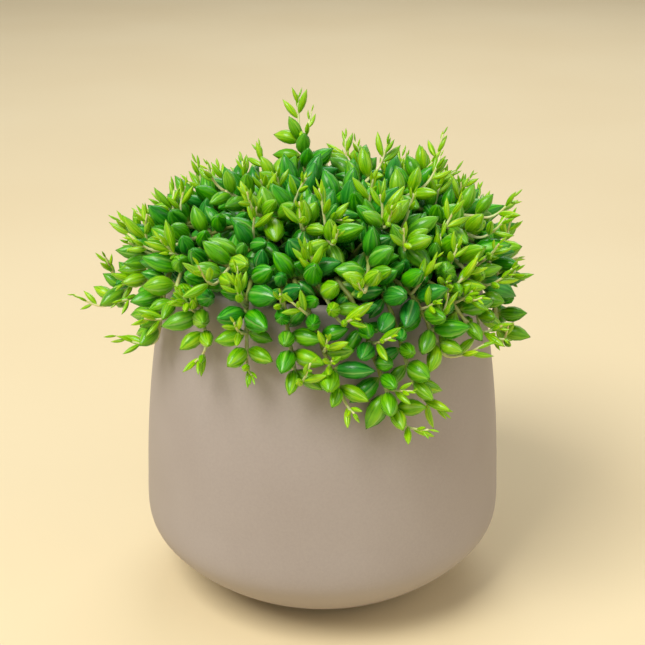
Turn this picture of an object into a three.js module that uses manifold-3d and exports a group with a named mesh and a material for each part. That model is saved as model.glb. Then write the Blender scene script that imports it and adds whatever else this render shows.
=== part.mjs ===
// A trailing succulent in a round-bellied ceramic pot: the pot, its potting mix and the strands that
// grow out of it. Each strand is one grown piece, a stem with its leaves, so each is one closed mesh.
// Millimetres, +Z up, origin at the centre of the pot's flat base.
import * as THREE from "three";
import { mergeVertices } from "three/addons/utils/BufferGeometryUtils.js";
import Module from "manifold-3d";

// ---- Driving dimensions ----------------------------------------------------------------------

// Pot
const POT_HEIGHT = 129.5;
const RIM_RADIUS = 56;
const BELLY_RADIUS = 67.5;
const BELLY_HEIGHT = 30;
const FOOT_RADIUS = 32;
const WALL = 4.5;
const RIM_LIP = 1.6; // height over which the rim is rounded
const FLOOR_BEVEL = 2; // width of the bevel between the floor inside and the wall
const FLOOR_BEVEL_RISE = 0.6; // and the least height of it
const POT_SIDES = 40;

// Potting mix
const HEADSPACE = 9; // from the rim down to the mix at the wall
const MOUND = 4; // how much higher the mix stands at its centre
const SEAT_GAP = 0.4; // clearance between pieces that touch

// Stems
const STEM_RADIUS = 0.95;
const STEM_FOOT_SWELL = 1.05; // a stem's thickness at its foot and at its tip, as shares of it
const STEM_TIP_TAPER = 0.7;
const ROOT_DEPTH = 5; // how far a stem runs down into the mix
const ROOT_CLEAR = 1.8; // how far it stands straight up out of it
const ROOT_MARGIN = 7.5; // from the mix's edge in to the outermost stems
const ROOT_WALL = 0.3; // mix left between the holes of two stems
const NODE_SPACING = 5.9; // along a stem, from one pair of leaves to the next
const RING_SPACING = 5; // the longest straight length of a stem
const FOOT_POINT = 0.4; // from the point that closes a stem's foot to the first ring
const HOLE_SPARE = 1; // how much deeper a stem's hole is than the stem and its gap
const CUTTER_SPARE = 2; // how far the tool that cuts a hole stands above the mound
const NODE_LENGTH = 1.5; // length of stem that a pair of leaves grows from
const LEAFY_LENGTH = 22; // of a stem's far end, for the shortest stems
const LEAFY_SHARE = 0.14; // and how much more for each millimetre that a stem reaches

// Leaves
const LEAF_LENGTH = 14.2;
const LEAF_RADIUS = 3.75;
const LEAF_SIDES = 5;
const CLEARANCE = 0.3; // between one strand and the next, and between a strand and the pot
const STEM_SAG = 0.35; // how far a stem's straight lengths may leave its curve

// Canopy: the low dome that the stems make over the rim, and the fringe that hangs outside it
const DOME_OVERHANG = 1; // of the dome past the rim
const DOME_RISE = 19; // of the stems' dome above its own edge
const DOME_EDGE = 1.5; // height of that edge above the rim
const FRINGE_DROP = 14; // how far the fringe hangs below the dome's edge, all round
const FRINGE_FRONT = 2; // and how much more at the front
const FRINGE_RIGHT = 2; // and on the right, or less on the left
const JOINED = 0.7; // share of the dome's arc by which a hanging stem has joined the canopy
const CREST = 0.92; // and at which it starts over the rim
const OVER_RIM = 4.5; // how far past the dome's edge it has come clear of the rim
const FRINGE_GAP = 0.1; // between the pot's wall and a leaf that lies flat under a hanging stem
const STRANDS = 53;
const SEED = 8;

// How often each choice is tried before it is given up
const ROOT_TRIES = 60;
const STEM_TRIES = 80;
const LEAF_TRIES = 44;
const AIM_TRIES = 60;

// ---- Random numbers and small helpers --------------------------------------------------------

// Mulberry32: a short generator that gives the same plant every time.
function makeRandom(seed) {
  let state = seed >>> 0;
  return () => {
    state = (state + 0x6d2b79f5) >>> 0;
    let t = Math.imul(state ^ (state >>> 15), state | 1);
    t = (t + Math.imul(t ^ (t >>> 7), t | 61)) ^ t;
    return ((t ^ (t >>> 14)) >>> 0) / 4294967296;
  };
}

const random = makeRandom(SEED);
const between = (low, high) => low + (high - low) * random();
const UP = new THREE.Vector3(0, 0, 1);

const polar = (azimuth, radius, z) =>
  new THREE.Vector3(radius * Math.cos(azimuth), radius * Math.sin(azimuth), z);

// ---- Pot -------------------------------------------------------------------------------------

// The outside curves up from the foot into the belly, then draws in to the rim.
function potOutside() {
  const foot = new THREE.Vector2(FOOT_RADIUS, 0);
  const belly = new THREE.Vector2(BELLY_RADIUS, BELLY_HEIGHT);
  const rim = new THREE.Vector2(RIM_RADIUS, POT_HEIGHT - RIM_LIP);
  const underside = new THREE.CubicBezierCurve(
    foot,
    new THREE.Vector2(FOOT_RADIUS + (BELLY_RADIUS - FOOT_RADIUS) * 0.26, BELLY_HEIGHT * 0.02),
    new THREE.Vector2(BELLY_RADIUS, BELLY_HEIGHT * 0.65),
    belly,
  );
  const side = new THREE.QuadraticBezierCurve(
    belly,
    new THREE.Vector2(BELLY_RADIUS, (BELLY_HEIGHT + POT_HEIGHT) / 2),
    rim,
  );
  return [...underside.getPoints(7), ...side.getPoints(6).slice(1)];
}

// An outline moved in by a distance along its own normals.
function movedInward(outline, distance) {
  return outline.map((p, i) => {
    const before = outline[Math.max(i - 1, 0)];
    const after = outline[Math.min(i + 1, outline.length - 1)];
    const along = after.clone().sub(before).normalize();
    return new THREE.Vector2(p.x - along.y * distance, p.y + along.x * distance);
  });
}

// An outline's radius at a height.
function radiusAt(outline, z) {
  const next = outline.findIndex((p) => p.y >= z);
  if (next < 0) return outline[outline.length - 1].x;
  if (next === 0) return outline[0].x;
  const [a, b] = [outline[next - 1], outline[next]];
  return a.x + ((b.x - a.x) * (z - a.y)) / (b.y - a.y);
}

// The cavity: a flat floor, a bevel and then the wall, which follows every other point outside.
function potInside(outside) {
  const wall = movedInward(outside, WALL).filter(
    (p, i) => p.y > WALL + FLOOR_BEVEL_RISE && (outside.length - 1 - i) % 2 === 0,
  );
  const floorRadius = wall[0].x - FLOOR_BEVEL;
  return [new THREE.Vector2(0, WALL), new THREE.Vector2(floorRadius, WALL), ...wall];
}

const OUTSIDE = potOutside();
const INSIDE = potInside(OUTSIDE);

function potProfile() {
  const lip = [30, 90, 150].map((degrees) => {
    const turn = THREE.MathUtils.degToRad(degrees);
    const middle = RIM_RADIUS - WALL / 2;
    return new THREE.Vector2(
      middle + (WALL / 2) * Math.cos(turn),
      POT_HEIGHT - RIM_LIP + RIM_LIP * Math.sin(turn),
    );
  });
  return [new THREE.Vector2(0, 0), ...OUTSIDE, ...lip, ...[...INSIDE].reverse()];
}

// A LatheGeometry turns about +Y, so it is stood up on +Z.
function lathe(profile, sides) {
  return new THREE.LatheGeometry(profile, sides).rotateX(Math.PI / 2);
}

// ---- Potting mix -----------------------------------------------------------------------------

// The mix fills the cavity with a small gap all round.
const MIX_EDGE_HEIGHT = POT_HEIGHT - HEADSPACE;
const MIX_WALL = movedInward(INSIDE, SEAT_GAP);
const MIX_RADIUS = radiusAt(MIX_WALL, MIX_EDGE_HEIGHT);

const mixHeight = (radius) =>
  MIX_EDGE_HEIGHT + MOUND * (1 - Math.min(1, radius / MIX_RADIUS) ** 2);

// A root ball that fills the pot, its top a low mound.
function mixProfile() {
  const wall = MIX_WALL.filter((p) => p.y < MIX_EDGE_HEIGHT - 1);
  const mound = [1, 0.8, 0.55, 0.28, 0].map(
    (share) => new THREE.Vector2(MIX_RADIUS * share, mixHeight(MIX_RADIUS * share)),
  );
  return [...wall, ...mound];
}

// ---- Canopy ----------------------------------------------------------------------------------

const DOME_RADIUS = RIM_RADIUS + DOME_OVERHANG;
const EDGE_HEIGHT = POT_HEIGHT + DOME_EDGE;
const FRINGE_STANDOFF = STEM_RADIUS + LEAF_RADIUS + FRINGE_GAP;
const DOME_ARC = arcLength((share) => domePoint(share));

function domePoint(share) {
  const turn = (share * Math.PI) / 2;
  return new THREE.Vector2(
    DOME_RADIUS * Math.sin(turn),
    EDGE_HEIGHT + DOME_RISE * Math.cos(turn),
  );
}

function arcLength(curve, steps = 40) {
  let total = 0;
  for (let i = 0; i < steps; i++)
    total += curve(i / steps).distanceTo(curve((i + 1) / steps));
  return total;
}

// The stems' surface at a distance along it from the top: over the dome, then down the pot's wall.
function canopyPoint(distance, azimuth, lift = 0) {
  const share = distance / DOME_ARC;
  if (share <= 1) {
    const p = domePoint(Math.max(0, share));
    const normal = new THREE.Vector2(p.x / DOME_RADIUS ** 2, (p.y - EDGE_HEIGHT) / DOME_RISE ** 2);
    p.addScaledVector(normal.normalize(), lift);
    return polar(azimuth, p.x, p.y);
  }
  const z = EDGE_HEIGHT - (distance - DOME_ARC);
  const standoff = Math.max(DOME_RADIUS, radiusAt(OUTSIDE, z) + FRINGE_STANDOFF);
  return polar(azimuth, standoff + lift, z);
}

// How far the fringe hangs below the dome's edge.
function fringeDrop(azimuth) {
  const front = -Math.sin(azimuth); // 1 at the front, -1 behind
  const right = Math.cos(azimuth);
  return FRINGE_DROP + FRINGE_FRONT * front + FRINGE_RIGHT * right;
}

// Strands steered by hand, because they give the plant its outline: where the tip ends up.
// azimuth in degrees from +X, how far past the dome's edge along the canopy, lift above it.
const STEERED = [
  { azimuth: 171, past: 27, lift: 15 }, // long shoot out to the left
  { azimuth: -69, past: 37, lift: 0 }, // lowest leaves at the front
  { azimuth: -84, past: 27, lift: 0 },
  { azimuth: -98, past: 22, lift: 0 },
  { azimuth: -112, past: 17, lift: 0 },
  { azimuth: -126, past: 15, lift: 0 },
  { azimuth: -52, past: 18, lift: 0 },
  { azimuth: -62, past: 28, lift: 1 },
  { azimuth: -150, past: 22, lift: 0 },
  { azimuth: -17, past: 27, lift: 0 },
  { azimuth: -5, past: 9, lift: 1 }, // shoots out to the right
  { azimuth: -2, past: -14, lift: 6 },
  { azimuth: 38, past: -9, lift: 7 },
  { azimuth: 34, past: -28, lift: 9 },
  { azimuth: 103, past: -38, lift: 17 }, // tallest shoot, behind the middle
  { azimuth: 78, past: -24, lift: 6 },
  { azimuth: 134, past: -11, lift: 4 },
  { azimuth: 160, past: -9, lift: 3 },
  { azimuth: -157, past: -10, lift: 3 },
];

const leafyLength = (aim) => LEAFY_LENGTH + LEAFY_SHARE * aim.reach;
const furthestReach = (azimuth) => DOME_ARC + fringeDrop(azimuth);

// ---- Keeping pieces clear of each other ------------------------------------------------------

// Spheres that stand for what has grown so far, in a grid of cells.
class Space {
  constructor(cell) {
    this.cell = cell;
    this.cells = new Map();
  }
  key(x, y, z) {
    return `${x},${y},${z}`;
  }
  index(value) {
    return Math.floor(value / this.cell);
  }
  add(sphere) {
    const { x, y, z } = sphere.centre;
    const key = this.key(this.index(x), this.index(y), this.index(z));
    if (!this.cells.has(key)) this.cells.set(key, []);
    this.cells.get(key).push(sphere);
  }
  // True if the sphere stays clear of all others, apart from those that ignore() picks out.
  isClear(sphere, gap, ignore) {
    const { x, y, z } = sphere.centre;
    for (let i = this.index(x) - 1; i <= this.index(x) + 1; i++)
      for (let j = this.index(y) - 1; j <= this.index(y) + 1; j++)
        for (let k = this.index(z) - 1; k <= this.index(z) + 1; k++)
          for (const other of this.cells.get(this.key(i, j, k)) ?? []) {
            const reach = sphere.radius + other.radius + gap;
            if (
              sphere.centre.distanceToSquared(other.centre) < reach * reach &&
              !ignore(other)
            )
              return false;
          }
    return true;
  }
}

// The distance from a point to the pot's wall, taken on the pot's outline.
const POT_OUTLINE = potProfile();
function potDistance(point) {
  const p = new THREE.Vector2(Math.hypot(point.x, point.y), point.z);
  let nearest = Infinity;
  for (let i = 1; i < POT_OUTLINE.length; i++) {
    const [a, b] = [POT_OUTLINE[i - 1], POT_OUTLINE[i]];
    const along = b.clone().sub(a);
    const t = THREE.MathUtils.clamp(p.clone().sub(a).dot(along) / along.lengthSq(), 0, 1);
    nearest = Math.min(nearest, p.distanceTo(along.multiplyScalar(t).add(a)));
  }
  return nearest;
}

const clearsPot = (sphere, gap) => potDistance(sphere.centre) > sphere.radius + gap;
const clearsMix = (sphere, gap) => {
  const radius = Math.hypot(sphere.centre.x, sphere.centre.y);
  return radius > RIM_RADIUS || sphere.centre.z > mixHeight(radius) + sphere.radius + gap;
};

// ---- Strands ---------------------------------------------------------------------------------

const STEM_CORNER = STEM_RADIUS * STEM_FOOT_SWELL; // from the stem's line out to its foot's corners
const HOLE_CORNER = (STEM_CORNER + SEAT_GAP) * Math.SQRT2; // square holes turned by 45 degrees
const ROOT_SPACING = 2 * HOLE_CORNER + ROOT_WALL;
const ROOT_ZONE = MIX_RADIUS - ROOT_MARGIN;

const space = new Space(2 * LEAF_RADIUS + 2.5);
const roots = [];

// A root place near the one that a strand would like, clear of the other roots.
function findRoot(azimuth, radius) {
  for (let turn = 0; turn < ROOT_TRIES; turn++) {
    const stray = turn * 0.5;
    const at = polar(
      azimuth + (stray * between(-1, 1)) / Math.max(radius, 12),
      Math.min(ROOT_ZONE, Math.abs(radius + stray * between(-1, 1))),
      0,
    );
    if (roots.every((r) => r.distanceTo(at) > ROOT_SPACING)) {
      roots.push(at.clone());
      at.z = mixHeight(at.length());
      return at;
    }
  }
  return null;
}

// Where a stem's line meets the canopy: pairs of a distance along it and a height above it. It
// rises through the dome's outer leaves, and a stem that hangs first goes clear over the rim.
function canopyStops(aim) {
  const end = aim.reach;
  const start = Math.max(end - leafyLength(aim), Math.min(8, end * 0.3));
  const along = (share) => start + (end - start) * share;
  const over = DOME_ARC + OVER_RIM;
  if (end < over + 3) return [[start, -3.5], [along(0.36), -1.5], [along(0.7), 0], [end, 1]];
  const joined = Math.min(start, JOINED * DOME_ARC);
  return [[joined, -3], [CREST * DOME_ARC, 0.8], [over, 0.3], [(over + end) / 2, 0.3], [end, 1]];
}

// The stem's line: up out of the mix, over to the canopy, along it and curling up at the tip.
function stemCurve(aim, root, swirl) {
  const stops = canopyStops(aim);
  const [start] = stops[0];
  const onCanopy = stops.map(([distance, lift]) => {
    const share = (distance - start) / (aim.reach - start);
    return canopyPoint(
      distance,
      aim.azimuth + swirl * (1 - share),
      lift + aim.lift * share ** 3,
    );
  });
  const below = root.clone().addScaledVector(UP, -ROOT_DEPTH);
  const clear = root.clone().addScaledVector(UP, ROOT_CLEAR);
  const rising = root.clone().lerp(onCanopy[0], 0.22).setZ(root.z + 6);
  const line = [below, root, clear, rising, ...onCanopy];
  return new THREE.CatmullRomCurve3(line, false, "centripetal");
}

// Whether a point of a stem is in the mix, where stems stand closer together than above it.
function isBuried({ x, y, z }) {
  const radius = Math.hypot(x, y);
  return radius < MIX_RADIUS && z < mixHeight(radius) + STEM_RADIUS;
}

// Spheres along a stem, which hide a little of it: they may touch only their own strand.
function stemSpheres(curve, strand) {
  const count = Math.ceil(curve.getLength() / 1.6);
  return curve.getSpacedPoints(count).map((centre, i) => ({
    centre,
    radius: STEM_RADIUS + STEM_SAG,
    strand,
    along: i / count,
    buried: isBuried(centre),
  }));
}

// True if a stem's sphere stays clear of everything, though it may rest on the mix.
function isOpen(sphere) {
  return (
    space.isClear(sphere, CLEARANCE, () => false) &&
    clearsPot(sphere, CLEARANCE + STEM_SAG) &&
    clearsMix(sphere, -sphere.radius)
  );
}

function growStem(aim, strand) {
  const radius = Math.min(ROOT_ZONE, 0.7 * Math.max(0, aim.reach - leafyLength(aim)) + 4);
  const root = findRoot(aim.azimuth, radius);
  for (let turn = 0; root && turn < STEM_TRIES; turn++) {
    const stray = 0.15 + turn / 100;
    const tried = {
      azimuth: aim.azimuth + 0.12 * stray * between(-1, 1),
      reach: aim.reach + 3 * stray * between(-1, 1),
      lift: aim.lift + 2 * stray * between(-1, 1),
    };
    const curve = stemCurve(tried, root, between(-0.55, 0.55) * Math.min(1, 30 / aim.reach + 0.3));
    const spheres = stemSpheres(curve, strand);
    const clear = spheres.every((s) => s.buried || isOpen(s));
    if (clear) {
      spheres.forEach((s) => space.add(s));
      const length = curve.getLength();
      const frames = curve.computeFrenetFrames(Math.ceil(length), false);
      const leafy = leafyLength(aim);
      const pairs = Math.round(leafy / NODE_SPACING);
      return { strand, curve, length, frames, leafy, pairs, leaves: [] };
    }
  }
  if (root) roots.pop();
  return null;
}

// ---- Leaves ----------------------------------------------------------------------------------

// A leaf's half-width along it, as a share of its widest: a plump spindle with a drawn-out point.
const LEAF_OUTLINE = [
  [0.1, 0.3],
  [0.26, 0.83],
  [0.44, 1],
  [0.62, 0.86],
  [0.8, 0.5],
  [0.95, 0.16],
];
// Where the mesh has its rings.
const LEAF_RINGS = [
  [0.36, 0.98],
  [0.64, 0.86],
];
const YOUNG_SIZES = [0.74, 0.92]; // of the leaves nearest the tip
const SQUEEZED_SIZES = [1, 1, 0.84, 0.7]; // tried in turn where there is less and less room

function leafSpheres(leaf, strand) {
  return LEAF_OUTLINE.map(([along, width]) => ({
    centre: leaf.base.clone().addScaledVector(leaf.direction, leaf.length * along),
    radius: leaf.radius * width,
    strand,
    inLeaf: leaf,
    along,
  }));
}

// A leaf's neighbours on its own stem are left out near its foot, where they meet.
function leafIsClear(leaf, strand) {
  return leafSpheres(leaf, strand).every((s) => {
    const nearFoot = s.along < 0.3;
    const ignore = (other) =>
      other.strand === strand &&
      ((!other.inLeaf && (nearFoot || other.buried)) || (other.inLeaf && nearFoot));
    return (
      space.isClear(s, CLEARANCE, ignore) &&
      clearsPot(s, CLEARANCE) &&
      clearsMix(s, CLEARANCE)
    );
  });
}

// The outward direction of the canopy at a point, which leaves lean towards.
function outward(point) {
  const radius = Math.hypot(point.x, point.y);
  const up = THREE.MathUtils.clamp((point.z - EDGE_HEIGHT + 14) / 26, 0.12, 1);
  return new THREE.Vector3(
    (point.x / DOME_RADIUS) * Math.min(1, DOME_RADIUS / Math.max(radius, 1)),
    (point.y / DOME_RADIUS) * Math.min(1, DOME_RADIUS / Math.max(radius, 1)),
    up * 0.9,
  ).normalize();
}

// The stem's frame at a share of its length. Its frames turn as little as they can along the curve,
// so that the square stem doesn't twist.
function stemFrame(stem, share) {
  const { tangents, normals, binormals } = stem.frames;
  const i = Math.round(share * (tangents.length - 1));
  return {
    point: stem.curve.getPointAt(share),
    along: tangents[i],
    normal: normals[i],
    binormal: binormals[i],
  };
}

function aroundStem(frame, turn) {
  return frame.normal
    .clone()
    .multiplyScalar(Math.cos(turn))
    .addScaledVector(frame.binormal, Math.sin(turn));
}

// The stem's four faces, those that look most outwards first.
function facesByOutlook(stem, share) {
  const frame = stemFrame(stem, share);
  const out = outward(frame.point);
  const outlook = [0, 1, 2, 3].map(
    (face) => aroundStem(frame, (face * Math.PI) / 2).dot(out) + between(-0.35, 0.35),
  );
  return [0, 1, 2, 3].sort((a, b) => outlook[b] - outlook[a]);
}

// A leaf grows from one face of the square stem, leaning along it and towards the outside.
function growLeaf(stem, share, face, size) {
  const frame = stemFrame(stem, share);
  const out = outward(frame.point);
  const faceTurn = (face * Math.PI) / 2;
  const faceNormal = aroundStem(frame, faceTurn);
  for (let turn = 0; turn < LEAF_TRIES; turn++) {
    const stray = 0.5 + turn / LEAF_TRIES;
    const lean = THREE.MathUtils.degToRad(56 + stray * between(-30, 30));
    const direction = aroundStem(frame, faceTurn + stray * between(-0.6, 0.6))
      .addScaledVector(out, 0.3)
      .normalize()
      .multiplyScalar(Math.sin(lean))
      .addScaledVector(frame.along, Math.cos(lean))
      .normalize();
    if (direction.dot(faceNormal) < 0.34) continue;
    const squeeze = SQUEEZED_SIZES[Math.floor((turn / LEAF_TRIES) * SQUEEZED_SIZES.length)];
    const leaf = {
      share,
      face,
      direction,
      base: frame.point.clone().addScaledVector(faceNormal, STEM_RADIUS * 0.7),
      length: LEAF_LENGTH * size * squeeze * between(0.88, 1.1),
      radius: LEAF_RADIUS * size * squeeze * between(0.88, 1.12),
    };
    if (leafIsClear(leaf, stem.strand)) return leaf;
  }
  return null;
}

// Every strand grows a pair of leaves in turn, from its tip back, so that none crowds out the rest.
function growLeaves(stems) {
  const most = Math.max(...stems.map((stem) => stem.pairs));
  for (let pair = 0; pair < most; pair++)
    for (const stem of stems.filter((s) => pair < s.pairs)) {
      const share = 1 - (3 + NODE_SPACING * pair) / stem.length;
      if (share * stem.length < ROOT_DEPTH + ROOT_CLEAR + NODE_SPACING / 2) continue;
      const size = YOUNG_SIZES[pair] ?? 1;
      let grown = 0;
      for (const face of facesByOutlook(stem, share)) {
        if (grown === 2) break;
        const leaf = growLeaf(stem, share, face, size);
        if (!leaf) continue;
        leafSpheres(leaf, stem.strand).forEach((s) => space.add(s));
        stem.leaves.push(leaf);
        grown += 1;
      }
    }
}

// ---- The whole plant -------------------------------------------------------------------------

const COVER_POINTS = 420;
const LEAF_SPREAD = 5; // how far from a leafy stem its leaves hide what is below
const LEAF_RISE = 3; // how far out from the stem the middle of its leaves is
const OPEN_ENOUGH = 2; // a bare place smaller than this is left alone
const FRONT_FAVOUR = 0.5; // how much fuller the plant is at the front

// Points spread evenly over the canopy in a sunflower spiral, each to be hidden by leaves.
function pointsToCover() {
  const spiral = Math.PI * (3 - Math.sqrt(5));
  return Array.from({ length: COVER_POINTS }, (_, i) => {
    const azimuth = i * spiral;
    const reach = furthestReach(azimuth) * Math.sqrt((i + 0.5) / COVER_POINTS);
    const weight = 1 + FRONT_FAVOUR * Math.cos(azimuth + Math.PI / 2);
    return { at: canopyPoint(reach, azimuth, 2), weight, bare: 30 };
  });
}

// Records that a point is covered by the leaves that a stem will bear.
function cover(points, stem) {
  for (let back = 0; back < stem.leafy; back += LEAF_SPREAD) {
    const along = stem.curve.getPointAt(1 - back / stem.length);
    along.addScaledVector(outward(along), LEAF_RISE);
    for (const point of points)
      point.bare = Math.min(point.bare, Math.max(0, along.distanceTo(point.at) - LEAF_SPREAD));
  }
}

// How much of what is still bare a strand would cover if it were aimed so.
function coverGained(points, aim) {
  const leafy = [0.92, 0.7, 0.47, 0.23, 0].map((back) =>
    canopyPoint(Math.max(0, aim.reach - back * leafyLength(aim)), aim.azimuth),
  );
  const shortfall = (bare) => Math.max(0, bare - OPEN_ENOUGH) ** 2;
  return points.reduce((sum, { at, bare, weight }) => {
    const nearest = Math.min(...leafy.map((p) => p.distanceTo(at))) - LEAF_SPREAD;
    return sum + weight * (shortfall(bare) - shortfall(Math.min(bare, nearest)));
  }, 0);
}

function bestAim(points) {
  let best = null;
  for (let turn = 0; turn < AIM_TRIES; turn++) {
    const azimuth = between(-Math.PI, Math.PI);
    const reach = 12 + (furthestReach(azimuth) - 12) * Math.sqrt(random());
    const gained = coverGained(points, { azimuth, reach });
    if (!best || gained > best.gained) best = { azimuth, reach, gained };
  }
  return { ...best, lift: best.reach < DOME_ARC ? between(2, 8) : between(0, 3) };
}

// The steered stems grow first. Each later one is the best of many tries at covering what those
// before it leave bare. The leaves follow once every stem is there.
function growPlant() {
  const points = pointsToCover();
  const stems = [];
  const steered = STEERED.map(({ azimuth, past, lift }) => ({
    azimuth: THREE.MathUtils.degToRad(azimuth),
    reach: DOME_ARC + past,
    lift,
  }));
  for (let turn = 0; stems.length < STRANDS; turn++) {
    const stem = growStem(steered[turn] ?? bestAim(points), turn);
    if (!stem) continue;
    cover(points, stem);
    stems.push(stem);
  }
  growLeaves(stems);
  return stems;
}

// ---- Meshes ----------------------------------------------------------------------------------

// Joins two closed loops of points, both anticlockwise seen from the second's side.
function bridge(faces, from, to) {
  let i = 0;
  let j = 0;
  while (i < from.length || j < to.length) {
    const a = from[i % from.length];
    const b = to[j % to.length];
    if ((i + 1) / from.length <= (j + 1) / to.length) {
      i += 1;
      faces.push([a, from[i % from.length], b]);
    } else {
      j += 1;
      faces.push([a, to[j % to.length], b]);
    }
  }
}

// Closes a loop with a point.
function closeWith(faces, loop, apex) {
  loop.forEach((a, i) => faces.push([a, loop[(i + 1) % loop.length], apex]));
}

// The rings that a stem's tube needs: one at its foot, one where it leaves the mix, two close
// together for each pair of leaves, and more wherever a straight length would leave the curve.
function stemStations(stem) {
  const half = NODE_LENGTH / 2;
  const nodes = [...new Set(stem.leaves.map((leaf) => leaf.share))].sort((a, b) => a - b);
  const needed = [
    { at: FOOT_POINT, node: null },
    { at: ROOT_DEPTH + ROOT_CLEAR, node: null },
    ...nodes.flatMap((node) => [
      { at: node * stem.length - half, node },
      { at: node * stem.length + half, node: null },
    ]),
  ];
  return needed.flatMap((station, i) => {
    const span = (needed[i + 1]?.at ?? stem.length) - station.at;
    const lengths = Math.ceil(span / RING_SPACING);
    const added = Array.from({ length: lengths - 1 }, (_, k) => ({
      at: station.at + (span * (k + 1)) / lengths,
      node: null,
    }));
    return [station, ...added];
  });
}

function strandGeometry(stem) {
  const points = [];
  const faces = [];
  const add = (point) => points.push(point) - 1;
  const ringAt = ({ at }) => {
    const share = at / stem.length;
    const frame = stemFrame(stem, share);
    const radius = STEM_RADIUS * THREE.MathUtils.lerp(STEM_FOOT_SWELL, STEM_TIP_TAPER, share);
    return [-1, 1, 3, 5].map((eighth) => {
      const spoke = aroundStem(frame, (eighth * Math.PI) / 4);
      return add(frame.point.clone().addScaledVector(spoke, radius));
    });
  };
  const stations = stemStations(stem);
  let before = ringAt(stations[0]);
  closeWith(faces, [...before].reverse(), add(stem.curve.getPointAt(0)));
  stations.slice(1).forEach((station, i) => {
    const after = ringAt(station);
    for (let face = 0; face < 4; face++) {
      const next = (face + 1) % 4;
      const quad = [before[face], before[next], after[next], after[face]];
      const leaf = stem.leaves.find(
        (l) => l.share === stations[i].node && l.face === face,
      );
      if (leaf) addLeaf(leaf, quad);
      else faces.push([quad[0], quad[1], quad[2]], [quad[0], quad[2], quad[3]]);
    }
    before = after;
  });
  closeWith(faces, before, add(stem.curve.getPointAt(1)));

  function addLeaf(leaf, quad) {
    const across = points[quad[0]].clone().sub(leaf.base);
    across.addScaledVector(leaf.direction, -across.dot(leaf.direction)).normalize();
    const sideways = leaf.direction.clone().cross(across);
    let loop = quad;
    for (const [along, width] of LEAF_RINGS) {
      const centre = leaf.base.clone().addScaledVector(leaf.direction, leaf.length * along);
      const ring = [];
      for (let side = 0; side < LEAF_SIDES; side++) {
        const turn = (2 * Math.PI * side) / LEAF_SIDES;
        const reach = leaf.radius * width;
        const corner = centre.clone().addScaledVector(across, reach * Math.cos(turn));
        ring.push(add(corner.addScaledVector(sideways, reach * Math.sin(turn))));
      }
      bridge(faces, loop, ring);
      loop = ring;
    }
    closeWith(faces, loop, add(leaf.base.clone().addScaledVector(leaf.direction, leaf.length)));
  }

  const geometry = new THREE.BufferGeometry().setFromPoints(points);
  geometry.setIndex(faces.flat());
  geometry.computeVertexNormals();
  return geometry;
}

// ---- Planting holes --------------------------------------------------------------------------

const wasm = await Module();
wasm.setup();

function solidOf(geometry) {
  const bare = geometry.clone();
  bare.deleteAttribute("normal");
  bare.deleteAttribute("uv");
  const merged = mergeVertices(bare, 1e-4);
  return new wasm.Manifold(
    new wasm.Mesh({
      numProp: 3,
      vertProperties: merged.attributes.position.array,
      triVerts: new Uint32Array(merged.index.array),
    }),
  );
}

function geometryOf(solid) {
  const mesh = solid.getMesh();
  const geometry = new THREE.BufferGeometry();
  geometry.setAttribute("position", new THREE.BufferAttribute(mesh.vertProperties, 3));
  geometry.setIndex(new THREE.BufferAttribute(mesh.triVerts, 1));
  geometry.computeVertexNormals();
  return geometry;
}

// The mix with a hole for each stem, a little wider and deeper than the buried end.
function plantedMix(stems) {
  let mix = solidOf(lathe(mixProfile(), POT_SIDES));
  const depth = ROOT_DEPTH + SEAT_GAP + HOLE_SPARE;
  const above = MOUND + CUTTER_SPARE;
  for (const stem of stems) {
    const root = stem.curve.points[1];
    const hole = new THREE.CylinderGeometry(HOLE_CORNER, HOLE_CORNER, depth + above, 4)
      .rotateX(Math.PI / 2)
      .translate(root.x, root.y, root.z + (above - depth) / 2);
    mix = mix.subtract(solidOf(hole));
  }
  return geometryOf(mix);
}

// ---- The plant in its pot --------------------------------------------------------------------

const ceramic = new THREE.MeshStandardMaterial({ color: 0xa5958a, roughness: 0.62 });
const peat = new THREE.MeshStandardMaterial({ color: 0x2e211a, roughness: 0.95 });
const succulent = new THREE.MeshStandardMaterial({ color: 0x4c9a22, roughness: 0.38 });

function named(name, geometry, material) {
  const mesh = new THREE.Mesh(geometry, material);
  mesh.name = name;
  return mesh;
}

const stems = growPlant();

const plant = new THREE.Group();
plant.add(named("pot", lathe(POT_OUTLINE, POT_SIDES), ceramic));
plant.add(named("potting_mix", plantedMix(stems), peat));
stems.forEach((stem, i) => {
  const name = `strand_${String(i + 1).padStart(2, "0")}`;
  plant.add(named(name, strandGeometry(stem), succulent));
});

export default plant;
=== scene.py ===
"""The looks of a trailing succulent in a round-bellied stoneware pot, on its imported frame.

The frame holds each strand as one plain solid, a square stem that bears five-sided leaves. The line
of the stem and the place and size of every leaf are read back from that solid, and a round stem,
smooth leaves and young shoots are made on them. The pot and the potting mix follow the frame's own
outlines. Metres, +Z up, the plant's front towards -Y.
"""

import math

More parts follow.
